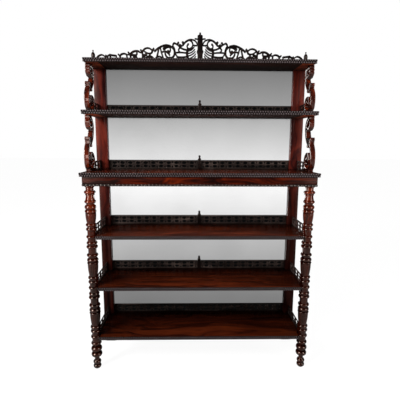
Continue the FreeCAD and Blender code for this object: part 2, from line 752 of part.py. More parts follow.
# Crest bands for one half: shares of the half width, out from the middle, and of the crest's height
CREST_BAND_SHARES = [
    # Horn, plume and loop beside the post
    ((0.012, 0.974), (0.030, 1.005), (0.047, 1.012), 0.9),
    ((0.159, 0.772), (0.125, 0.923), (0.085, 0.979), 1.3),
    ((0.085, 0.979), (0.053, 0.949), (0.027, 0.815), 1.0),
    ((0.095, 0.949), (0.068, 0.794), (0.105, 0.630), 1.2),
    ((0.105, 0.630), (0.121, 0.712), (0.113, 0.794), 1.2),
    ((0.070, 0.784), (0.044, 0.758), (0.012, 0.784), 1.0),
    # Palmette ribs and their crescent
    ((0.108, 0.553), (0.079, 0.601), (0.056, 0.705), 0.8),
    ((0.110, 0.460), (0.075, 0.515), (0.051, 0.614), 0.8),
    ((0.108, 0.367), (0.071, 0.432), (0.046, 0.527), 0.8),
    ((0.098, 0.270), (0.064, 0.347), (0.042, 0.439), 0.8),
    ((0.088, 0.115), (0.060, 0.249), (0.040, 0.347), 0.8),
    ((0.113, 0.630), (0.122, 0.424), (0.098, 0.177), 2.0),
    ((0.098, 0.177), (0.086, 0.095), (0.070, 0.050), 1.4),
    # Bars and crossing stems with their hook
    ((0.240, 0.475), (0.180, 0.493), (0.120, 0.466), 1.1),
    ((0.217, 0.327), (0.172, 0.315), (0.116, 0.345), 1.2),
    ((0.241, 0.846), (0.216, 0.794), (0.186, 0.681), 1.2),
    ((0.186, 0.681), (0.156, 0.619), (0.115, 0.589), 1.2),
    ((0.159, 0.772), (0.190, 0.671), (0.202, 0.589), 1.2),
    ((0.202, 0.589), (0.199, 0.547), (0.190, 0.511), 1.2),
    ((0.159, 0.772), (0.161, 0.825), (0.161, 0.877), 1.2),
    ((0.214, 0.799), (0.209, 0.825), (0.205, 0.866), 1.2),
    ((0.178, 0.743), (0.183, 0.774), (0.190, 0.784), 1.2),
    ((0.241, 0.846), (0.253, 0.784), (0.250, 0.681), 1.3),
    ((0.250, 0.681), (0.241, 0.589), (0.238, 0.465), 1.9),
    # Great volute with its leaf, and the arch over it
    ((0.240, 0.470), (0.285, 0.272), (0.325, 0.420), 1.5),
    ((0.325, 0.420), (0.328, 0.480), (0.322, 0.535), 1.2),
    ((0.322, 0.535), (0.312, 0.505), (0.299, 0.548), 1.2),
    ((0.312, 0.510), (0.303, 0.470), (0.292, 0.455), 1.4),
    ((0.283, 0.680), (0.278, 0.590), (0.288, 0.490), 1.2),
    ((0.288, 0.490), (0.294, 0.440), (0.288, 0.405), 1.2),
    ((0.246, 0.600), (0.272, 0.710), (0.320, 0.765), 1.3),
    ((0.320, 0.765), (0.362, 0.712), (0.424, 0.531), 1.4),
    ((0.283, 0.715), (0.315, 0.700), (0.337, 0.625), 2.4),
    ((0.283, 0.300), (0.281, 0.180), (0.283, 0.050), 1.5),
    # Struts and the small arch beyond the volute
    ((0.388, 0.630), (0.402, 0.360), (0.432, 0.050), 1.3),
    ((0.372, 0.660), (0.357, 0.420), (0.322, 0.050), 1.3),
    ((0.363, 0.470), (0.346, 0.517), (0.324, 0.509), 1.1),
    ((0.420, 0.200), (0.386, 0.335), (0.352, 0.200), 1.2),
    ((0.387, 0.245), (0.386, 0.150), (0.387, 0.050), 1.3),
    ((0.240, 0.470), (0.216, 0.330), (0.222, 0.050), 1.1),
    # First outer scroll, with the leaves under it
    ((0.447, 0.545), (0.485, 0.647), (0.540, 0.490), 1.2),
    ((0.434, 0.624), (0.441, 0.575), (0.449, 0.520), 1.5),
    ((0.447, 0.545), (0.452, 0.480), (0.472, 0.443), 1.3),
    ((0.528, 0.560), (0.505, 0.475), (0.472, 0.443), 1.2),
    ((0.471, 0.443), (0.470, 0.330), (0.466, 0.050), 1.4),
    ((0.528, 0.352), (0.518, 0.378), (0.506, 0.398), 2.0),
    ((0.520, 0.370), (0.514, 0.220), (0.500, 0.050), 1.1),
    ((0.500, 0.290), (0.476, 0.335), (0.442, 0.050), 1.6),
    ((0.553, 0.562), (0.540, 0.450), (0.574, 0.050), 1.6),
    # Second outer scroll, with the leaves under it
    ((0.542, 0.470), (0.556, 0.475), (0.576, 0.507), 1.0),
    ((0.572, 0.515), (0.616, 0.520), (0.648, 0.430), 1.5),
    ((0.596, 0.500), (0.592, 0.420), (0.608, 0.357), 1.2),
    ((0.647, 0.420), (0.628, 0.372), (0.606, 0.365), 2.0),
    ((0.608, 0.360), (0.622, 0.280), (0.636, 0.050), 1.4),
    ((0.608, 0.360), (0.595, 0.270), (0.584, 0.050), 1.9),
    ((0.670, 0.470), (0.657, 0.390), (0.664, 0.050), 1.5),
    # Third outer scroll
    ((0.657, 0.420), (0.672, 0.395), (0.690, 0.390), 1.0),
    ((0.685, 0.385), (0.716, 0.428), (0.752, 0.325), 1.3),
    ((0.688, 0.390), (0.685, 0.300), (0.692, 0.050), 1.2),
    ((0.724, 0.250), (0.722, 0.160), (0.724, 0.050), 1.5),
    ((0.763, 0.392), (0.750, 0.320), (0.748, 0.050), 1.4),
    # Two low end loops
    ((0.786, 0.345), (0.815, 0.358), (0.843, 0.378), 1.5),
    ((0.788, 0.340), (0.782, 0.240), (0.784, 0.050), 1.0),
    ((0.843, 0.378), (0.866, 0.320), (0.876, 0.050), 1.2),
    ((0.845, 0.360), (0.838, 0.280), (0.832, 0.050), 1.3),
    ((0.879, 0.350), (0.876, 0.260), (0.878, 0.050), 1.4),
    ((0.919, 0.376), (0.896, 0.330), (0.888, 0.050), 1.2),
    ((0.919, 0.376), (0.951, 0.325), (0.972, 0.050), 1.2),
]
CREST_BERRY_SHARES = [
    ((0.161, 0.868), 1.0), ((0.204, 0.853), 0.9), ((0.111, 0.805), 0.75), ((0.387, 0.245), 0.8),
    ((0.724, 0.255), 0.8), ((0.299, 0.548), 0.8), ((0.288, 0.405), 0.8),
]


def crest_half():
    half = float(finial_x)
    tall = float(at.crest_height)
    strip = float(at.crest_band)

    def spot(shares):
        return Vector(half * shares[0], 0, tall * shares[1])

    rail_end = half - float(at.corner_base_radius)
    faces = [plate(Vector(0, 0, 0), Vector(rail_end, 0, float(at.crest_rail_height)))]
    faces += [band(spot(a), spot(b), spot(c), strip * share) for a, b, c, share in CREST_BAND_SHARES]
    faces += [disc(spot(shares), strip * share) for shares, share in CREST_BERRY_SHARES]
    return sawn(faces, float(at.crest_thickness))


# Crest post, with a collar half way up
def crest_post_outline():
    wide = at.crest_post_width / 2
    wing = at.crest_collar_width / 2
    thin = at.crest_neck_width / 2
    tall = at.crest_height + at.crest_post_rise
    shoulder = at.crest_height + at.crest_shoulder_rise
    wing_shares = (0.44, 0.5, 0.53, 0.6)
    low, middle, high, top = [at.crest_height * share for share in wing_shares]
    neck_z = tall - at.crest_ball_width
    bulge = at.crest_ball_width / 2 - thin
    left = [(-wide, 0), (-wide, low), (-wing, middle), (-wing, high), (-wide, top), (-wide, shoulder)]
    left += [(-thin, neck_z, bulge), (-thin, tall)]
    right = [(thin, tall, bulge), (thin, neck_z), (wide, shoulder), (wide, top)]
    right += [(wing, high), (wing, middle), (wide, low), (wide, 0)]
    return left + right


crest_y = mirror_y - at.crest_forward
crest_post = padded(
    "crest_middle_post", crest_post_outline(), "XZ_Plane", at.crest_post_thickness,
    (0, crest_y, height["top"]), True)
keep("crest_post", crest_post)
doc.recompute()
half_shape = crest_half()
half_shape.translate(Vector(0, float(crest_y - at.crest_thickness / 2), float(height["top"])))
for side, sign in SIDES.items():
    shape = half_shape if sign > 0 else half_shape.mirror(Vector(0, 0, 0), Vector(1, 0, 0))
    keep("crest_" + side, shaped("crest_" + side, shape.cut(crest_post.Shape), (0, 0, 0)))


# Turned finials at the ends of the crest
def corner_profile():
    base = at.corner_base_radius
    body = base + at.corner_body_rise
    waist = base - at.corner_waist_drop
    ball = at.corner_ball_radius
    tall = at.corner_height
    tip = at.corner_neck_radius
    corner_shares = (0.87, 0.61, 0.38, 0.28, 0.2, 0.1)
    neck_z, body_z, low_body_z, waist_z, low_waist_z, base_z = [tall * share for share in corner_shares]
    corners = [(0, tall), (tip, tall, ball - tip), (tip, tall - ball * 2), (tip, neck_z, at.corner_swell)]
    corners += [(body, body_z), (body, low_body_z), (waist, waist_z), (waist, low_waist_z)]
    return corners + [(base, base_z), (base, 0), (0, 0)]


keep("crest_corner_finials", group("corner_finials", [
    turned(f"{side}_corner_finial", [corner_profile()], (sign * finial_x, crest_y, height["top"]))
    for side, sign in SIDES.items()
]))

# Dowels across the joints of shelves, stiles, columns and scrolls
for side, sign in SIDES.items():
    stile_x = sign * (opening_x + at.dowel_inset)
    upright_x = sign * (stile_outer_x - at.dowel_inset)
    upright_y = (stile_front_y + mirror_y) / 2
    for name in ("upper",) + lower_shelves:
        middle_z = height[name] - thickness[name] / 2
        stage = "upper" if name == "upper" else "lower"
        dowel(name + "_shelf", f"{side}_{stage}_stile", (stile_x, stile_front_y, middle_z), "y")
        if name in lower_shelves:
            dowel(name + "_shelf", side + "_column", (sign * notch_x, column_y, middle_z), "x")
    dowel("top_shelf", side + "_upper_stile", (upright_x, upright_y, underside["top"]), "z")
    dowel("middle_shelf", side + "_upper_stile", (upright_x, upright_y, height["middle"]), "z")
    dowel("middle_shelf", side + "_lower_stile", (upright_x, upright_y, underside["middle"]), "z")
    dowel("frieze_corner_blocks", side + "_column", (sign * column_x, column_y, column_top), "z")
    for bay, (over, under, setback, deep) in SCROLL_BAYS.items():
        cap_share = (SCROLL_PLATE_SHARES[0][0][0] + SCROLL_PLATE_SHARES[0][1][0]) / 2
        cap_y = scroll_rear_y[under] - deep * cap_share
        scroll_node = f"{bay}_bay_{side}_scroll"
        dowel(over + "_shelf", scroll_node, (sign * scroll_middle, cap_y, underside[over]), "z")
        dowel(under + "_shelf", scroll_node, (sign * scroll_middle, cap_y, height[under]), "z")
keep("dowels", group("dowel_set", dowels))

for node, tools in bores.items():
    if tools:
        sub_parts[node] = cut(node + "_bored", sub_parts[node], group(node + "_bores", tools))
for node, item in sub_parts.items():
    item.Label = node
doc.recompute()

# Nothing is written unless every object is sound
for item in doc.Objects:
    if "Invalid" in item.State or "Error" in item.State:
        raise RuntimeError(f"{item.Label} failed: {item.State}")
for node, item in sub_parts.items():
    if item.Shape.isNull() or not item.Shape.isValid() or not item.Shape.Solids:
        raise RuntimeError(f"{node} has no sound solid")

os.makedirs("parts", exist_ok=True)
for node, item in sub_parts.items():
    item.Shape.exportStep(f"parts/{node}.step")
    print(f"{node}: {len(item.Shape.Solids)} solid, {item.Shape.Volume / 1000:.1f} cm3")
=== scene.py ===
import math

import bmesh
import bpy
from mathutils import Matrix, Vector


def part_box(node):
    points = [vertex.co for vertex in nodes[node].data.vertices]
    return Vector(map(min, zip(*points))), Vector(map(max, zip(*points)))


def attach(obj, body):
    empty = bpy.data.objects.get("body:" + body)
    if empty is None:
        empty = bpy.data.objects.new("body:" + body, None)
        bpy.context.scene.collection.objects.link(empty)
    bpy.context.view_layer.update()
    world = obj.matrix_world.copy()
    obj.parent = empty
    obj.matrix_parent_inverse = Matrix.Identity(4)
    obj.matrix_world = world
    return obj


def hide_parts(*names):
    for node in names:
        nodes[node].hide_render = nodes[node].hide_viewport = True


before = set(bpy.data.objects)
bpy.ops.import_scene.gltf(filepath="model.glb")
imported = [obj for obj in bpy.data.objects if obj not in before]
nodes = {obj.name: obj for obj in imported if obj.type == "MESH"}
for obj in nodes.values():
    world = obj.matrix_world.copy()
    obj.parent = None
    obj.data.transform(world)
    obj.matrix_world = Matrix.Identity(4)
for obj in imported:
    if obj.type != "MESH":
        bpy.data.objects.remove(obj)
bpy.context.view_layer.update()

scene = bpy.context.scene
scene.view_settings.view_transform = "Standard"
SIDES = {"left": -1, "right": 1}
SHELVES = ("top", "upper", "middle", "fourth", "fifth", "bottom")
LOWER = ("fourth", "fifth", "bottom")
BAYS = ("top", "second", "third", "fourth", "bottom")
SHELF_TOP = {name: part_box(name + "_shelf")[1].z for name in SHELVES}

# The colour sockets of a mix node, which has others of the same name for other kinds of data
MIX_SHARE, MIX_FIRST, MIX_SECOND, MIX_RESULT = 0, 6, 7, 2


# Material helpers
class Graph:
    """The node tree of a material or world, with short calls to add nodes and link them."""

    def __init__(self, owner):
        self.owner = owner
        self.owner.use_nodes = True
        self.tree = self.owner.node_tree
        self.tree.nodes.clear()

    def add(self, kind, inputs=None, **settings):
        node = self.tree.nodes.new(kind)
        for name, value in settings.items():
            setattr(node, name, value)
        for name, value in (inputs or {}).items():
            self.set(node, name, value)
        return node

    def set(self, node, name, value):
        if isinstance(value, bpy.types.NodeSocket):
            self.tree.links.new(value, node.inputs[name])
        else:
            node.inputs[name].default_value = value

    def math(self, operation, first, second=0.0):
        return self.add("ShaderNodeMath", {0: first, 1: second}, operation=operation).outputs[0]

    def scaled(self, vector, factor):
        spots = {0: vector, "Scale": factor}
        return self.add("ShaderNodeVectorMath", spots, operation="SCALE").outputs[0]

    def dot(self, first, second):
        node = self.add("ShaderNodeVectorMath", {0: first, 1: second}, operation="DOT_PRODUCT")
        return node.outputs["Value"]

    def mapped(self, vector, **inputs):
        return self.add("ShaderNodeMapping", {"Vector": vector, **inputs}).outputs[0]

    def parts(self, vector):
        return self.add("ShaderNodeSeparateXYZ", {0: vector}).outputs

    def toned(self, share, colour, tone):
        """A colour with a share of one plain tone mixed in."""
        spots = {MIX_SHARE: share, MIX_FIRST: colour, MIX_SECOND: (*tone, 1.0)}
        return self.add("ShaderNodeMix", spots, data_type="RGBA").outputs[MIX_RESULT]

    def ramp(self, share, stops):
        node = self.add("ShaderNodeValToRGB", {"Fac": share})
        elements = node.color_ramp.elements
        while len(elements) < len(stops):
            elements.new(0.5)
        for element, (position, colour) in zip(elements, stops):
            element.position = position
            element.color = (*colour, 1.0)
        return node.outputs["Color"]

    def span(self, value, low, high, new_low=0.0, new_high=1.0):
        spots = {"Value": value, "From Min": low, "From Max": high, "To Min": new_low, "To Max": new_high}
        return self.add("ShaderNodeMapRange", spots).outputs[0]

    def noise(self, vector, scale, detail=4.0, roughness=0.55, distortion=0.0):
        spots = {"Vector": vector, "Scale": scale, "Detail": detail}
        spots.update({"Roughness": roughness, "Distortion": distortion})
        return self.add("ShaderNodeTexNoise", spots).outputs["Fac"]

    def finish(self, shader):
        self.add("ShaderNodeOutputMaterial", {"Surface": shader.outputs[0]})
        return self.owner


def linear(colour):
    """A colour picked as it shows on screen, 0 to 255, as the linear values that shaders take."""
    shares = [channel / 255 for channel in colour]
    return tuple(s / 12.92 if s <= 0.04045 else ((s + 0.055) / 1.055) ** 2.4 for s in shares)


# Figure of the wood: long bands that sway, and pores, both drawn out along the grain
SHIFT_SHARES = (1.0, 0.7, 0.4)
SWAY = {"scale": 2.3, "detail": 2.0, "roughness": 0.5}
SWAY_REACH = (0.16, 0.16, 0.16)
GRAIN_ALONG, GRAIN_ACROSS = 0.9, 11.0
BAND_SCALE = 2.1
BAND = {"detail": 7.0, "roughness": 0.62, "distortion": 0.9}
BAND_STOPS = (0.30, 0.42, 0.53, 0.68)
PORE_ALONG, PORE_ACROSS = 14.0, 520.0
PORE = {"scale": 1.0, "detail": 3.0, "roughness": 0.6}
PORE_SPAN, PORE_SHARE = (0.52, 0.72), 0.45

# Painted highlights and shade on the crests and hollows of ribs, edges worn light by hands, and painted
# shade in hollows and corners
CREST_SHADE_SPAN, CREST_HIGHLIGHT_SPAN = (0.1, 0.5), (0.5, 0.9)
EDGE_RADIUS, EDGE_SPAN = 0.0022, (0.985, 0.86)
RUB_SCALE, RUB_SPAN = 60.0, (0.35, 0.65)
# Painted shade in hollows and corners, from ambient occlusion
HOLLOW_SHADE_REACH, HOLLOW_SHADE_SPAN, HOLLOW_SHADE_SHARE = 0.012, (0.35, 0.9), 0.7
EDGE_AND_HOLLOW_SAMPLES = 6

# Where painted shade darkens the woods, in metres or as parts of a face's direction
RISE_SPAN, REAR_SPAN, ENDS_SPAN = (0.15, 1.05), (-0.15, 0.12), (0.15, 0.58)
FLANK_SPAN, UNDER_SPAN = (0.45, 0.85), (-0.6, -0.9)
UNDER_LEVEL, UNDER_ROUGHNESS = 0.35, 0.8
# Where the painted reflection of the stiles lightens shelf undersides
STILE_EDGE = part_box("right_upper_stile")[0].x
STILE_SOFT = 0.004

# Polish: smears and pores change the roughness, and pores dent the surface
SMEAR = {"scale": 9.0, "detail": 4.0, "roughness": 0.6}
SMEAR_SPAN, SMEAR_SHARES = (0.3, 0.7), (0.8, 1.35)
PORE_ROUGHNESS_SHARE = 0.4
DENT_DEEP, DENT_SHARE, DENT_MOST = 0.0006, 0.5, 0.12
WARM_TINT = (1.0, 0.8, 0.7)


def drawn_out(axis, along, across):
    """Texture scales that are low along one axis and high across it."""
    return tuple(along if letter == axis else across for letter in "xyz")


def figured(graph, place, along, figure, tones):
    """The streaked colour of the wood, with the height and the mask of its pores."""
    bent = graph.add("ShaderNodeVectorMath", {0: place}, operation="ADD")
    graph.set(bent, 1, graph.scaled(SWAY_REACH, graph.noise(place, **SWAY)))
    stretched = graph.mapped(bent.outputs[0], Scale=drawn_out(along, GRAIN_ALONG, GRAIN_ACROSS))
    band = graph.noise(stretched, BAND_SCALE * figure, **BAND)
    colour = graph.ramp(band, list(zip(BAND_STOPS, tones)))
    pore = graph.noise(graph.mapped(place, Scale=drawn_out(along, PORE_ALONG, PORE_ACROSS)), **PORE)
    pore_mask = graph.span(pore, *PORE_SPAN)
    colour = graph.toned(graph.math("MULTIPLY", pore_mask, PORE_SHARE), colour, tones[0])
    return colour, pore, pore_mask


def painted_crest_light_and_shade(graph, colour, streak, light, painted_relief):
    """Painted shade in the hollows and painted highlights on the tops of ribs and beads, from the crest
    values that their meshes carry.
    """
    crest = graph.add("ShaderNodeAttribute", attribute_name="crest").outputs["Fac"]
    colour = graph.toned(graph.span(crest, *CREST_SHADE_SPAN, painted_relief, 0.0), colour, streak)
    return graph.toned(graph.span(crest, *CREST_HIGHLIGHT_SPAN, 0.0, painted_relief), colour, light)


def worn_edges_and_shaded_hollows(graph, colour, place, normal, streak, light, wear):
    """Light where hands rub the edges, and painted shade in the hollows."""
    soft = graph.add("ShaderNodeBevel", {"Radius": EDGE_RADIUS}, samples=EDGE_AND_HOLLOW_SAMPLES).outputs[0]
    edge = graph.span(graph.dot(normal, soft), *EDGE_SPAN, 0.0, wear)
    patches = graph.span(graph.noise(place, RUB_SCALE), *RUB_SPAN)
    colour = graph.toned(graph.math("MULTIPLY", edge, patches), colour, light)
    # Painted shade: ambient occlusion darkens the hollows and corners
    corners = graph.add("ShaderNodeAmbientOcclusion", {"Distance": HOLLOW_SHADE_REACH}, samples=EDGE_AND_HOLLOW_SAMPLES)
    return graph.toned(graph.span(corners.outputs["AO"], *HOLLOW_SHADE_SPAN, HOLLOW_SHADE_SHARE, 0.0), colour, streak)


def painted_shade_level(graph, spot, outward, under, foot, fade, rear, ends, flank, stile_painted_reflection):
    """How light the wood is at its place, as painted shade: less by the floor, at the back, at the ends, on
    side faces and underneath, and lighter under shelves next to the stiles as a painted reflection.
    """
    rise = graph.math("POWER", graph.span(spot["Z"], *RISE_SPAN), fade)
    level = graph.span(rise, 0.0, 1.0, foot, 1.0)
    away = graph.math("ABSOLUTE", spot["X"])
    sideways = graph.math("ABSOLUTE", outward["X"])
    for value, limits, dim in (
        (spot["Y"], REAR_SPAN, rear), (away, ENDS_SPAN, ends), (sideways, FLANK_SPAN, flank),
    ):
        level = graph.math("MULTIPLY", level, graph.span(value, *limits, 1.0, dim))
    # Painted reflection: undersides next to the stiles are made lighter
    by_stile = graph.math("MULTIPLY", graph.span(away, STILE_EDGE - STILE_SOFT, STILE_EDGE), under)
    glow = graph.math("MULTIPLY", by_stile, stile_painted_reflection)
    under_level = graph.math("ADD", graph.span(under, 0.0, 1.0, 1.0, UNDER_LEVEL), glow)
    return graph.math("MULTIPLY", level, under_level)


def wood(
    name, along, colours, level=1.0, roughness=0.2, sheen=0.16, tint=WARM_TINT, figure=1.0, shift=0.0,
    wear=0.35, painted_relief=0.0, foot=1.0, fade=3.0, rear=1.0, ends=1.0, flank=1.0, stile_painted_reflection=0.0,
):
    """Polished wood whose grain runs along one axis.

    The four colours are its streaks and its dark, middle and light bands, and level scales them all, to
    paint lit and shaded copies.
    Figure is how fine the bands are, and shift moves them. Relief paints highlights on the crests of ribs
    and shade in their hollows, instead of wear on edges and painted shade in hollows.
    Foot, rear, ends and flank are the levels of painted shade by the floor, at the back, at the ends and on
    side faces; a higher fade carries foot further up. The stile value paints a reflection that lightens
    undersides next to the stiles.
    """
    tones = [tuple(level * channel for channel in linear(colour)) for colour in colours]
    streak, light = tones[0], tones[-1]
    graph = Graph(bpy.data.materials.new(name))
    whole = graph.add("ShaderNodeTexCoord").outputs["Object"]
    place = graph.mapped(whole, Location=tuple(shift * share for share in SHIFT_SHARES))
    surface = graph.add("ShaderNodeNewGeometry")
    outward = graph.parts(surface.outputs["True Normal"])
    under = graph.span(outward["Z"], *UNDER_SPAN)
    colour, pore, pore_mask = figured(graph, place, along, figure, tones)
    # Ribs and beads take painted highlights and shade on their crests
    if painted_relief:
        colour = painted_crest_light_and_shade(graph, colour, streak, light, painted_relief)
    else:
        colour = worn_edges_and_shaded_hollows(graph, colour, place, surface.outputs["Normal"], streak, light, wear)
    shade = painted_shade_level(graph, graph.parts(whole), outward, under, foot, fade, rear, ends, flank, stile_painted_reflection)
    smear = graph.noise(place, **SMEAR)
    rough = graph.span(smear, *SMEAR_SPAN, *(roughness * share for share in SMEAR_SHARES))
    rough = graph.math("ADD", rough, graph.math("MULTIPLY", pore_mask, roughness * PORE_ROUGHNESS_SHARE))
    rough = graph.math("MAXIMUM", rough, graph.math("MULTIPLY", under, UNDER_ROUGHNESS))
    strength = min(DENT_MOST, roughness * DENT_SHARE)
    dents = {"Strength": strength, "Distance": DENT_DEEP, "Height": pore}
    shader = graph.add("ShaderNodeBsdfPrincipled", {
        "Base Color": graph.scaled(colour, shade),
        "Roughness": rough,
        "Normal": graph.add("ShaderNodeBump", dents, invert=True).outputs[0],
        "Specular IOR Level": sheen,
        "Specular Tint": (*tint, 1.0),
    })
    return graph.finish(shader)


# Painted shade: the foot, fade, rear, ends and flank values below darken the woods where shade falls; the
# shelf's stile value paints a reflection, and the relief values paint highlights and shade on crests
column_wood = wood(
    "column_rosewood", "z", ((13, 3, 2), (72, 18, 6), (112, 33, 9), (154, 58, 18)),
    roughness=0.05, sheen=0.4, wear=0.4, foot=0.12, fade=4.0, tint=(1.0, 0.7, 0.58))
stile_wood = wood(
    "stile_rosewood", "z", ((32, 13, 14), (64, 22, 20), (98, 34, 25), (130, 48, 33)),
    roughness=0.3, sheen=0.05, foot=0.14, fade=5.0)
scroll_wood = wood(
    "scroll_rosewood", "z", ((10, 3, 3), (44, 12, 7), (80, 24, 10), (124, 44, 18)),
    roughness=0.06, sheen=0.7, shift=2.6, wear=0.4, flank=0.1, tint=(1.0, 0.76, 0.68))
frieze_wood = wood(
    "frieze_veneer", "x", ((6, 3, 3), (30, 7, 4), (62, 15, 5), (112, 36, 9)),
    roughness=0.22, sheen=0.04, figure=1.5, shift=3.1)
shelf_wood = wood(
    "shelf_rosewood", "x", ((50, 18, 10), (82, 31, 15), (114, 46, 22), (148, 63, 29)),
    roughness=0.16, sheen=0.08, shift=1.7, foot=0.5, rear=0.08, ends=0.5, fade=1.0, stile_painted_reflection=5.0)
ebonised = wood(
    "dark_rosewood", "x", ((5, 4, 4), (14, 9, 9), (22, 14, 13), (46, 32, 29)), roughness=0.24)
ripple_wood = wood(
    "ripple_rosewood", "x", ((6, 5, 5), (34, 29, 30), (42, 36, 38), (104, 92, 94)),
    roughness=0.3, sheen=0.12, foot=0.85, painted_relief=0.95)
bead_wood = wood(
    "bead_rosewood", "x", ((4, 3, 3), (16, 12, 12), (22, 17, 17), (60, 52, 50)),
    roughness=0.14, sheen=0.5, painted_relief=0.8)
pine = wood(
    "back_pine", "z", ((88, 60, 38), (116, 82, 52), (132, 96, 62), (150, 112, 76)),
    roughness=0.55, sheen=0.2, figure=2.6)

# How light each tier's gallery looks in the photograph, against the middle one: painted light and shade, as
# lit and shaded copies of one wood
GALLERY_PAINTED_LEVELS = {"upper": 0.5, "middle": 1.0, "fourth": 2.1, "fifth": 1.7, "bottom": 0.6}
GALLERY_COLOURS = ((8, 6, 6), (32, 25, 23), (48, 39, 36), (92, 78, 72))


def gallery_wood(tier):
    name = tier + "_gallery_rosewood"
    # Each tier gets its own copy, painted lighter or darker
    return wood(name, "x", GALLERY_COLOURS, GALLERY_PAINTED_LEVELS[tier], roughness=0.24, foot=0.75)


# Painted reflection tones of each mirror plate as the photograph shows it: over its gallery, and at the
# height that comes last
PLATE_REFLECTION_TONES = {
    "bottom": (128, 136, 0.3318),
    "fifth": (176, 192, 0.6622),
    "fourth": (234, 255, 0.9956),
    "middle": (232, 181, 1.393),
    "upper": (160, 130, 1.66),
}
PLATE_LOW, PLATE_HIGH = 0.2, 1.66
GALLERY_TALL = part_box("upper_shelf_back_gallery")[1].z - SHELF_TOP["upper"]
LIP = 0.0008
# Painted dark reflection in the lowest strip of each plate, behind the gallery
DARK_REFLECTION_TONE = 12
CLOUD = {"scale": 5.0, "detail": 5.0, "roughness": 0.6}
CLOUD_SPAN, CLOUD_LEVELS = (0.3, 0.75), (1.0, 0.985)
PLATE_SMEAR_SPAN, PLATE_ROUGHNESS = (0.3, 0.7), (0.07, 0.11)
PLATE_LEANS, PLATE_TURN = (0.245, -0.1), -0.3


def mirror_plate():
    """Silvered plate with painted reflection tones that change with height; its lowest strip, behind the
    gallery, is painted with a dark reflection.

    Its shading normal leans and turns a little, so that every plate reflects the pale front.
    """
    graph = Graph(bpy.data.materials.new("mirror_silvering"))
    place = graph.add("ShaderNodeTexCoord").outputs["Object"]
    spot = graph.parts(place)
    tones = []
    for name, (low_tone, high_tone, high_z) in PLATE_REFLECTION_TONES.items():
        rail_z = SHELF_TOP[name] + GALLERY_TALL
        tones += [(SHELF_TOP[name], DARK_REFLECTION_TONE), (rail_z - LIP, DARK_REFLECTION_TONE)]
        tones += [(rail_z, low_tone), (high_z, high_tone)]
    stops = [
        ((z - PLATE_LOW) / (PLATE_HIGH - PLATE_LOW), linear((tone, tone, tone))) for z, tone in tones]
    colour = graph.ramp(graph.span(spot["Z"], PLATE_LOW, PLATE_HIGH), stops)
    cloud = graph.noise(place, **CLOUD)
    lean = graph.span(spot["Z"], PLATE_LOW, PLATE_HIGH, *PLATE_LEANS)
    turn = graph.math("MULTIPLY", spot["X"], PLATE_TURN)
    shader = graph.add("ShaderNodeBsdfPrincipled", {
        "Base Color": graph.scaled(colour, graph.span(cloud, *CLOUD_SPAN, *CLOUD_LEVELS)),
        "Metallic": 1.0,
        "Roughness": graph.span(cloud, *PLATE_SMEAR_SPAN, *PLATE_ROUGHNESS),
        "Normal": graph.add("ShaderNodeCombineXYZ", {"X": turn, "Y": -1.0, "Z": lean}).outputs[0],
    })
    return graph.finish(shader)


silvering = mirror_plate()


def paint(item, material):
    item.data.materials.clear()
    item.data.materials.append(material)


# Pieces that take the place of plain CAD nodes
def piece(name, mesh, node_names, material, smooth=None):
    item = bpy.data.objects.new(name, mesh)
    scene.collection.objects.link(item)
    paint(item, material)
    if smooth is not None:
        mesh.shade_smooth()
        mesh.set_sharp_from_angle(angle=math.radians(smooth))
    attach(item, "root")
    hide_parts(*node_names)
    return item


def mesh_from(name, shape):
    """A mesh with the form of a bmesh, which is freed."""
    mesh = bpy.data.meshes.new(name)
    shape.to_mesh(mesh)
    shape.free()
    return mesh


def add_box(shape, low, high):
    """Adds a box between two corners and gives its vertices."""
    made = bmesh.ops.create_cube(shape, size=1.0)["verts"]
    for vert in made:
        vert.co = Vector([a + (b - a) * (share + 0.5) for a, b, share in zip(low, high, vert.co)])
    return made


WELD_REACH, FLAT_ANGLE, SHARP_ANGLE = 1e-6, math.radians(1.0), math.radians(40)


def welded(node):
    """A copy of a node's mesh with its corners joined and its flat faces whole."""
    shape = bmesh.new()
    shape.from_mesh(nodes[node].data)
    bmesh.ops.remove_doubles(shape, verts=shape.verts, dist=WELD_REACH)
    bmesh.ops.dissolve_limit(shape, angle_limit=FLAT_ANGLE, verts=shape.verts, edges=shape.edges)
    return shape


def eased(node, material, width, segments=2):
    """A node with its sharp edges rounded over."""
    shape = welded(node)
    joins = [edge for edge in shape.edges if edge.is_manifold]
    sharp = [edge for edge in joins if edge.calc_face_angle(0.0) > SHARP_ANGLE]
    bmesh.ops.bevel(
        shape, geom=sharp, offset=width, segments=segments, profile=0.5, affect="EDGES", clamp_overlap=False)
    return piece(node + "_piece", mesh_from(node + "_eased", shape), [node], material, smooth=30)


SOFTEN_FACTOR, THIN_RATIO = 0.5, 0.4


def settle(item):
    """Gives an object the mesh that its modifiers make, and drops the modifiers."""
    bpy.context.view_layer.update()
    made = item.evaluated_get(bpy.context.evaluated_depsgraph_get())
    final = bpy.data.meshes.new_from_object(made)
    item.modifiers.clear()
    item.data = final


def carved(node, material, voxel, rounds, shape=None, leaf=None):
    """A node remeshed finely and smoothed, so that its sawn edges turn into carved ones.

    A shape stands in for the node's own mesh, and leaf gives how far each spot of the surface is lifted.
    """
    mesh = nodes[node].data.copy()
    if shape:
        shape.to_mesh(mesh)
        shape.free()
    item = piece(node + "_carving", mesh, [node], material)
    remesh = item.modifiers.new("remesh", "REMESH")
    remesh.mode = "VOXEL"
    remesh.voxel_size = voxel
    soften = item.modifiers.new("soften", "SMOOTH")
    soften.iterations = rounds
    soften.factor = SOFTEN_FACTOR
    if leaf:
        settle(item)
        lifts = [vert.normal * leaf(vert.co) for vert in item.data.vertices]
        for vert, lift in zip(item.data.vertices, lifts):
            vert.co += lift
    thin = item.modifiers.new("thin", "DECIMATE")
    thin.ratio = THIN_RATIO
    settle(item)
    item.data.shade_smooth()
    return item


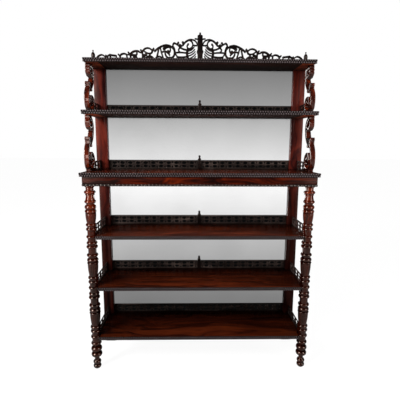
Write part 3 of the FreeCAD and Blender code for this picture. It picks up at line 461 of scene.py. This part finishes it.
# Places on a scroll support, as shares of its depth from the front and of its height
BUTTON_SHARES = (((0.565, 0.81), 0.085), ((0.49, 0.215), 0.10))
BUTTON_STEP_SHARES = ((1.0, 0.3), (0.55, 0.5))
BUTTON_SEGMENTS, BUTTON_RINGS = 24, 16
LEAF_SHARES = (0.66, 0.72, 0.94, 0.98)
LEAF_PITCH, LEAF_LIFT = 0.0135, 0.0009
LEAF_RISE_SHARE, LEAF_DEPTH_SHARE = 0.8, 0.6
SCROLL_VOXEL, SCROLL_ROUNDS = 0.0016, 14


def carved_scroll(node, ribbed):
    """A scroll support with turned buttons at its eyes and, where it is ribbed, a leaf on its head."""
    low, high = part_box(node)
    deep, tall = high.y - low.y, high.z - low.z
    shape = bmesh.new()
    shape.from_mesh(nodes[node].data)
    for (depth_share, height_share), radius_share in BUTTON_SHARES:
        radius = deep * radius_share
        for face_x in (low.x, high.x):
            middle = Vector((face_x, low.y + deep * depth_share, low.z + tall * height_share))
            for reach, proud in BUTTON_STEP_SHARES:
                flat = Matrix.Diagonal((radius * proud, radius * reach, radius * reach, 1.0))
                bmesh.ops.create_uvsphere(
                    shape, u_segments=BUTTON_SEGMENTS, v_segments=BUTTON_RINGS, radius=1.0,
                    matrix=Matrix.Translation(middle) @ flat)

    def leaf(spot):
        share = (spot.z - low.z) / tall
        first, full, last, end = LEAF_SHARES
        fade = min((share - first) / (full - first), (end - share) / (end - last), 1.0)
        run = LEAF_RISE_SHARE * spot.z + LEAF_DEPTH_SHARE * spot.y
        return LEAF_LIFT * max(0.0, fade) * math.sin(2 * math.pi * run / LEAF_PITCH)

    return carved(
        node, scroll_wood, SCROLL_VOXEL, SCROLL_ROUNDS, shape, leaf if ribbed else None)


# Camera, fitted to the photograph's perspective; angles in radians
CAMERA_PITCH, CAMERA_YAW, CAMERA_ROLL = 0.1569, 0.0202, 0.0047
CAMERA_PLACE = (-0.038, -1.9296, 1.2404)
CAMERA_LENS, CAMERA_SENSOR = 31.5, 36.0


def add_camera():
    flat = math.cos(CAMERA_PITCH)
    forward = Vector((math.sin(CAMERA_YAW) * flat, math.cos(CAMERA_YAW) * flat, -math.sin(CAMERA_PITCH)))
    level = Vector((math.cos(CAMERA_YAW), -math.sin(CAMERA_YAW), 0.0))
    down = forward.cross(level)
    right = math.cos(CAMERA_ROLL) * level - math.sin(CAMERA_ROLL) * down
    low = math.sin(CAMERA_ROLL) * level + math.cos(CAMERA_ROLL) * down
    camera = bpy.data.objects.new("camera", bpy.data.cameras.new("camera"))
    camera.data.lens = CAMERA_LENS
    camera.data.sensor_width = CAMERA_SENSOR
    turn = Matrix((right, -low, -forward)).transposed().to_4x4()
    camera.matrix_world = Matrix.Translation(CAMERA_PLACE) @ turn
    scene.collection.objects.link(camera)
    scene.camera = camera


add_camera()


# Floor, light and pale background
WHITE = (1.0, 1.0, 1.0, 1.0)
FLOOR_HALF, FLOOR_DROP = 30, 0.0005
FLOOR_COLOUR, FLOOR_ROUGHNESS = (0.7, 0.7, 0.7, 1.0), 0.9
FLOOR_GLOW, FLOOR_GLOW_SHARE = 1.22, 0.75
AMBIENT = 0.42
FRONT = (0.0, -1.0, 0.0)
FRONT_SPAN, FRONT_LEVELS = (0.982, 0.994), (0.05, 1.0)
# Place, aim, width, height and watts of each lamp, and whether it shows in gloss alone
LAMPS = {
    "key": ((-2.9, -2.6, 3.0), (0.0, 0.0, 1.0), 1.4, 1.4, 175.0, False),
    "fill": ((3.1, -2.4, 2.6), (0.0, 0.0, 0.9), 1.4, 1.4, 30.0, False),
    "left_panel": ((-2.3, -1.9, 1.3), (-0.4, 0.0, 1.0), 0.6, 2.2, 120.0, True),
    "right_panel": ((2.3, -1.9, 1.3), (0.4, 0.0, 1.0), 0.6, 2.2, 65.0, True),
    "left_front_panel": ((-1.43, -3.77, 1.44), (-0.52, 0.13, 1.44), 0.6, 1.15, 11.0, True),
    "right_front_panel": ((1.38, -3.77, 1.44), (0.52, 0.13, 1.44), 0.6, 1.15, 5.0, True),
}


def add_floor():
    """A wide pale floor that glows a little where the camera sees it."""
    graph = Graph(bpy.data.materials.new("floor"))
    seen = graph.add("ShaderNodeLightPath").outputs["Is Camera Ray"]
    matt_look = {"Base Color": FLOOR_COLOUR, "Roughness": FLOOR_ROUGHNESS}
    matt = graph.add("ShaderNodeBsdfPrincipled", matt_look)
    glow = graph.add("ShaderNodeEmission", {"Color": WHITE, "Strength": FLOOR_GLOW})
    both = graph.add("ShaderNodeMixShader", {
        0: graph.math("MULTIPLY", seen, FLOOR_GLOW_SHARE), 1: matt.outputs[0], 2: glow.outputs[0]})
    mesh = bpy.data.meshes.new("floor")
    corners = [(x * FLOOR_HALF, y * FLOOR_HALF, 0) for x, y in ((-1, -1), (1, -1), (1, 1), (-1, 1))]
    mesh.from_pydata(corners, [], [(0, 1, 2, 3)])
    floor = bpy.data.objects.new("floor", mesh)
    floor.location.z = -FLOOR_DROP
    scene.collection.objects.link(floor)
    paint(floor, graph.finish(both))


def add_sky():
    """A white background, soft for diffuse light and bright in front alone for what shines."""
    scene.world = bpy.data.worlds.new("studio")
    sky = Graph(scene.world)
    rays = sky.add("ShaderNodeLightPath").outputs
    ahead = sky.dot(sky.add("ShaderNodeTexCoord").outputs["Generated"], FRONT)
    front = sky.span(ahead, *FRONT_SPAN, *FRONT_LEVELS)
    shiny = sky.math("MAXIMUM", rays["Is Glossy Ray"], rays["Is Transmission Ray"])
    level = sky.math("ADD", sky.math("MULTIPLY", shiny, front), rays["Is Camera Ray"])
    level = sky.math("ADD", level, sky.math("MULTIPLY", rays["Is Diffuse Ray"], AMBIENT))
    back = sky.add("ShaderNodeBackground", {"Color": WHITE, "Strength": level})
    sky.add("ShaderNodeOutputWorld", {"Surface": back.outputs[0]})


def add_lamp(name, spot, target, wide, tall, watts, shine_only):
    lamp = bpy.data.objects.new(name, bpy.data.lights.new(name, "AREA"))
    lamp.data.shape = "RECTANGLE"
    lamp.data.size = wide
    lamp.data.size_y = tall
    lamp.data.energy = watts
    lamp.visible_diffuse = not shine_only
    lamp.location = spot
    lamp.rotation_euler = (Vector(target) - Vector(spot)).to_track_quat("-Z", "Y").to_euler()
    scene.collection.objects.link(lamp)


add_floor()
add_sky()
for name, values in LAMPS.items():
    add_lamp(name, *values)


# Ripple mouldings: closed bars whose outer face carries two rows of ribs
RIPPLE_PITCH, RIPPLE_DEEP, RIPPLE_STEPS = 0.0124, 0.006, 8
RIB_SHARE, ROW_SHARE = 0.66, 0.86
RIPPLE_LEVEL_SHARES = (0.0, 0.035, 0.1, 0.25, 0.4, 0.465, 0.5, 0.535, 0.6, 0.75, 0.9, 0.965, 1.0)
EDGE_THICK = 0.008


def rib(share, level):
    """How proud the moulding stands: two rows of upright ribs, the upper one half a rib along."""
    upper = level > 0.5
    across = abs(2 * ((share + (0.5 if upper else 0.0)) % 1.0) - 1) / RIB_SHARE
    along = abs(4 * (level - (0.75 if upper else 0.25))) / ROW_SHARE
    return max(0.0, 1 - across ** 2 - along ** 4) ** 0.5


def strip(origin, along, out, length, thick, tall):
    """Points, faces and crest shares of one bar that starts at a low rear corner."""
    origin, along, out, up = Vector(origin), Vector(along), Vector(out), Vector((0, 0, 1))
    count = max(1, round(length / RIPPLE_PITCH)) * RIPPLE_STEPS
    ring = len(RIPPLE_LEVEL_SHARES) + 2
    points = []
    crests = []
    for step in range(count + 1):
        start = origin + along * (length * step / count)
        proud = [rib(step / RIPPLE_STEPS, level) for level in RIPPLE_LEVEL_SHARES]
        points.append(start)
        for level, share in zip(RIPPLE_LEVEL_SHARES, proud):
            points.append(start + out * (thick - RIPPLE_DEEP * (1 - share)) + up * (tall * level))
        points.append(start + up * tall)
        crests += [0.0, *proud, 0.0]
    faces = []
    for step in range(count):
        for spot in range(ring):
            near, far = step * ring + spot, step * ring + (spot + 1) % ring
            faces.append((near, far, far + ring, near + ring))
    faces += [tuple(range(ring)), tuple(reversed(range(count * ring, count * ring + ring)))]
    return points, faces, crests


def joined(name, bars):
    """One mesh of several bars, with their crest shares as an attribute."""
    shape = bmesh.new()
    crest = shape.verts.layers.float.new("crest")
    for points, faces, crests in bars:
        made = [shape.verts.new(point) for point in points]
        for vert, share in zip(made, crests):
            vert[crest] = share
        for face in faces:
            shape.faces.new([made[corner] for corner in face])
    bmesh.ops.recalc_face_normals(shape, faces=shape.faces)
    return mesh_from(name, shape)


COLUMN_LOW, COLUMN_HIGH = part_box("right_column")
COLUMN_X = (COLUMN_LOW.x + COLUMN_HIGH.x) / 2
COLUMN_Y = (COLUMN_LOW.y + COLUMN_HIGH.y) / 2
COLUMN_NOTCH = 0.0283


def edge_bars(name):
    """The front bar and the two end bars of one shelf's moulding."""
    low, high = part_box(name + "_shelf_moulding")
    front_half = COLUMN_X - COLUMN_NOTCH if name in LOWER else high.x
    end_front = COLUMN_Y + COLUMN_NOTCH if name in LOWER else low.y + EDGE_THICK
    section = (EDGE_THICK, high.z - low.z)
    corner = (-front_half, low.y + EDGE_THICK, low.z)
    bars = [strip(corner, (1, 0, 0), (0, -1, 0), 2 * front_half, *section)]
    for sign in SIDES.values():
        corner = (sign * (high.x - EDGE_THICK), end_front, low.z)
        bars.append(strip(corner, (0, 1, 0), (sign, 0, 0), high.y - end_front, *section))
    return bars


BEAD_PITCH, BEAD_RADIUS, BACKING_SHARE = 0.0186, 0.0063, 0.8
BEAD_SEGMENTS, BEAD_RINGS = 14, 10


def bead_row():
    """A thin batten under the frieze, and the turned beads that stand out from it on three sides."""
    low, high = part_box("frieze_bead_moulding")
    half, front, back = high.x, low.y, high.y
    shape = bmesh.new()
    crest = shape.verts.layers.float.new("crest")
    face = front + BEAD_RADIUS * BACKING_SHARE
    deep = 2 * BEAD_RADIUS
    outer = half - BEAD_RADIUS * BACKING_SHARE
    inner = outer - deep
    for near, far in (
        ((-outer, face), (outer, face + deep)),
        ((-outer, face + deep), (-inner, back)),
        ((inner, face + deep), (outer, back)),
    ):
        add_box(shape, (*near, low.z), (*far, high.z))
    middle_z = (low.z + high.z) / 2
    line = half - BEAD_RADIUS
    count = round(2 * line / BEAD_PITCH)
    spots = [(-line + 2 * line * number / count, front + BEAD_RADIUS) for number in range(count + 1)]
    side_count = round((back - front) / BEAD_PITCH)
    side_spots = [front + BEAD_RADIUS + BEAD_PITCH * (number + 1) for number in range(side_count - 1)]
    spots += [(sign * line, y) for sign in SIDES.values() for y in side_spots]
    for x, y in spots:
        bead = bmesh.ops.create_uvsphere(
            shape, u_segments=BEAD_SEGMENTS, v_segments=BEAD_RINGS, radius=BEAD_RADIUS,
            matrix=Matrix.Translation((x, y, middle_z)))
        # The beads carry full crest values for a painted highlight; the batten carries none and takes
        # painted shade
        for vert in bead["verts"]:
            vert[crest] = 1.0
    return mesh_from("frieze_beads", shape)


# Turned columns, in millimetres: the CAD profile with reeded vases, fuller bulbs and a flare under the cap
MM_PER_METRE = 1000
CORE, NECK, RING, COLLAR, BEAD = 21.5, 20.5, 28.0, 29.7, 24.5
CAP, CAP_EDGE = 28.5, 26.5
CAP_SIDE, CAP_STEP, CAP_TALL = 3.0, 4.0, 10.0
VASE_SHOULDER, VASE_HEEL, VASE_BOW, VASE_STEPS = CORE + 6.0, CORE + 0.5, 1.5, 12
BALL_NECK, FOOT_NECK, FOOT_BASE = 15.5, 12.5, 14.0
# Heights as shares of the stretch of column that holds them, places measured down from its top
RING_SHARE, FILLET_SHARE, RING_RISE_SHARE = 0.061, 0.025, 0.75
TOP_BULB_SHARES, LOW_BULB_SHARES = (0.1, 0.072), (0.085, 0.028)
TOP_SPOT_SHARES = (0.13, 0.178, 0.32, 0.43, 0.516, 0.556, 0.75, 0.79, 0.88)
LOW_SPOT_SHARES = (0.152, 0.226, 0.387, 0.483, 0.54, 0.556, 0.785, 0.83, 0.915)
FOOT_SPOT_SHARES = (0.241, 0.41, 0.575, 0.67, 0.74, 0.81, 0.935)
FOOT_RING_SHARE, BALL_SHARE, FOOT_BALL_SHARE = 0.084, 0.148, 0.113
# The flare: how far down it is, as such a share, and how far it stands out from the neck
FLARE_SHARES = ((0.2, 0.3), (0.24, 1.6), (0.285, 4.2))
COLUMN_AROUND, REEDS = 112, 16
REED_DIP_SHARE, REED_FADE_SHARE, REED_ROUND = 0.075, 0.1, 0.7


def arc(start, end, rise, count=8):
    """Points of a bowed side between two profile corners, without the last one."""
    (r0, z0), (r1, z1) = start, end
    chord = math.hypot(r1 - r0, z1 - z0)
    radius = (chord * chord / 4 + rise * rise) / (2 * rise)
    half = math.asin(min(1.0, chord / 2 / radius))
    half = half if rise <= radius else math.pi - half
    run_r, run_z = (r1 - r0) / chord, (z1 - z0) / chord
    out_r, out_z = -run_z, run_r
    middle_r = (r0 + r1) / 2 + out_r * (rise - radius)
    middle_z = (z0 + z1) / 2 + out_z * (rise - radius)
    spots = []
    for step in range(count):
        angle = -half + 2 * half * step / count
        across, along = math.cos(angle) * radius, math.sin(angle) * radius
        spots.append((middle_r + out_r * across + run_r * along, middle_z + out_z * across + run_z * along))
    return spots


def turned_ring(spot, radius, tall, base):
    """A rounded ring about one height, out to a radius from a base radius."""
    top, low = (base, spot + tall / 2), (base, spot - tall / 2)
    return arc(top, low, min(radius - base, tall * RING_RISE_SHARE)) + [low]


def profile():
    """Radius, height and reeding of the column from its top to the floor, in millimetres."""
    rows = []

    def plain(spots):
        rows.extend((r, z, 0.0) for r, z in spots)

    def vase(top, low):
        end = (VASE_HEEL, low)
        side = arc((VASE_SHOULDER, top), end, VASE_BOW, VASE_STEPS) + [end]
        for number, (r, z) in enumerate(side):
            share = number / (len(side) - 1)
            rows.append((r, z, min(1.0, share / REED_FADE_SHARE, (1 - share) / REED_FADE_SHARE)))

    def lower_part(spots, tall, shelf_ring, bulb_share, bead_share):
        collar, bulb, bead, vase_top, vase_foot, first, second = spots
        plain(turned_ring(collar, COLLAR, tall * RING_SHARE, CORE))
        plain(turned_ring(bulb, COLLAR, tall * bulb_share, NECK))
        plain(turned_ring(bead, COLLAR, tall * bead_share, BEAD))
        vase(vase_top, vase_foot)
        for ring_z in (first, second, shelf_ring):
            plain(turned_ring(ring_z, RING, tall * RING_SHARE, CORE))

    top = COLUMN_HIGH.z * MM_PER_METRE
    stops = [SHELF_TOP[name] * MM_PER_METRE for name in LOWER]
    half_board = (SHELF_TOP["fourth"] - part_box("fourth_shelf")[0].z) * MM_PER_METRE / 2
    tall = top - stops[0]
    cap_ring, cap_bead, *spots = [top - tall * share for share in TOP_SPOT_SHARES]
    plain([(CAP, top), (CAP, top - CAP_SIDE), (CAP_EDGE, top - CAP_STEP), (NECK, top - CAP_TALL)])
    plain(turned_ring(cap_ring, COLLAR, tall * RING_SHARE, NECK))
    plain(turned_ring(cap_bead, BEAD, tall * FILLET_SHARE, NECK))
    plain([(NECK + rise, top - tall * share) for share, rise in FLARE_SHARES])
    lower_part(spots, tall, stops[0] - half_board, *TOP_BULB_SHARES)
    for over, under in zip(stops, stops[1:]):
        tall = over - under
        low_ring, low_collar, *spots = [over - tall * share for share in LOW_SPOT_SHARES]
        plain(turned_ring(low_ring, RING, tall * RING_SHARE, CORE))
        plain(turned_ring(low_collar, COLLAR, tall * RING_SHARE, CORE))
        lower_part(spots, tall, under - half_board, *LOW_BULB_SHARES)
    tall = stops[-1]
    ring_z, *ball_spots, neck_top, neck_foot, foot_ball, low_foot_ball = [
        tall * (1 - share) for share in FOOT_SPOT_SHARES]
    plain(turned_ring(ring_z, RING, tall * FOOT_RING_SHARE, CORE))
    for spot in ball_spots:
        plain(turned_ring(spot, COLLAR, tall * BALL_SHARE, BALL_NECK))
    plain([(FOOT_NECK, neck_top), (FOOT_NECK, neck_foot)])
    for spot in (foot_ball, low_foot_ball):
        plain(turned_ring(spot, CORE, tall * FOOT_BALL_SHARE, FOOT_BASE))
    plain([(FOOT_BASE, 0.0)])
    return rows


def column(side, sign):
    """One column, lathe-turned about its own axis."""
    shape = bmesh.new()
    loops = []
    for radius, height, reeding in profile():
        loop = []
        for step in range(COLUMN_AROUND):
            angle = 2 * math.pi * step / COLUMN_AROUND
            groove = 1 - abs(math.sin(angle * REEDS / 2)) ** REED_ROUND
            reach = radius * (1 - REED_DIP_SHARE * reeding * groove) / MM_PER_METRE
            x = sign * COLUMN_X + reach * math.cos(angle)
            y = COLUMN_Y + reach * math.sin(angle)
            loop.append(shape.verts.new((x, y, height / MM_PER_METRE)))
        loops.append(loop)
    for upper, lower in zip(loops, loops[1:]):
        for step in range(COLUMN_AROUND):
            after = (step + 1) % COLUMN_AROUND
            shape.faces.new((upper[step], lower[step], lower[after], upper[after]))
    shape.faces.new(loops[0])
    shape.faces.new(loops[-1])
    bmesh.ops.recalc_face_normals(shape, faces=shape.faces)
    mesh = mesh_from(side + "_column_turned", shape)
    return piece(side + "_column_piece", mesh, [side + "_column"], column_wood, smooth=32)


PLANK_COUNT, PLANK_BEVEL = 7, 0.003
# An edge is an upright one over this height, and a rear one past this depth from the front
UPRIGHT_LEAST, FRONT_REACH = 0.1, 0.001


def planks(node):
    """A back board as upright planks whose rear edges are eased."""
    low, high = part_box(node)
    shape = bmesh.new()
    wide = (high.x - low.x) / PLANK_COUNT
    for number in range(PLANK_COUNT):
        left = low.x + wide * number
        made = add_box(shape, (left, low.y, low.z), (left + wide, high.y, high.z))
        upright = [
            edge for edge in {edge for vert in made for edge in vert.link_edges}
            if abs(edge.verts[0].co.z - edge.verts[1].co.z) > UPRIGHT_LEAST
            and edge.verts[0].co.y > low.y + FRONT_REACH
        ]
        bmesh.ops.bevel(shape, geom=upright, offset=PLANK_BEVEL, segments=2, profile=0.5, affect="EDGES")
    mesh = mesh_from(node + "_planked", shape)
    return piece(node + "_piece", mesh, [node], pine, smooth=30)


# How wide the eased edges of each kind of piece are
THIN_EASE, RAIL_EASE, FINIAL_EASE, STILE_EASE, POST_EASE = 0.0006, 0.0008, 0.001, 0.0012, 0.0015
CREST_VOXEL, CREST_ROUNDS = 0.0012, 1

# Shelves, uprights and frieze
for name in SHELVES:
    eased(name + "_shelf", shelf_wood, THIN_EASE, 1)
    ripple = joined(name + "_ripple", edge_bars(name))
    piece(name + "_ripple", ripple, [name + "_shelf_moulding"], ripple_wood, smooth=55)
for side, sign in SIDES.items():
    for stage in ("upper", "lower"):
        eased(f"{side}_{stage}_stile", stile_wood, STILE_EASE)
    eased(f"{side}_frieze_rail", frieze_wood, RAIL_EASE)
    column(side, sign)
    for bay in ("top", "second"):
        carved_scroll(f"{bay}_bay_{side}_scroll", bay == "top")
    carved(f"crest_{side}", ebonised, CREST_VOXEL, CREST_ROUNDS)
eased("front_frieze_rail", frieze_wood, RAIL_EASE)
piece("frieze_beads", bead_row(), ["frieze_bead_moulding"], bead_wood, smooth=50)

# Back, and the CAD objects that stay as they are
planks("upper_back_board")
planks("lower_back_board")
for bay in BAYS:
    paint(nodes[bay + "_bay_mirror"], silvering)
for name in ("back_frieze_rail", "frieze_corner_blocks", "dowels"):
    paint(nodes[name], pine)

# Galleries, posts and finials
for name in SHELVES[1:]:
    tier_wood = gallery_wood(name)
    for part in ("back", "left", "right"):
        eased(f"{name}_shelf_{part}_gallery", tier_wood, THIN_EASE, 1)
    if name != "bottom":
        eased(name + "_shelf_finial", ebonised, FINIAL_EASE)
eased("crest_post", ebonised, POST_EASE)
eased("crest_corner_finials", ebonised, RAIL_EASE)
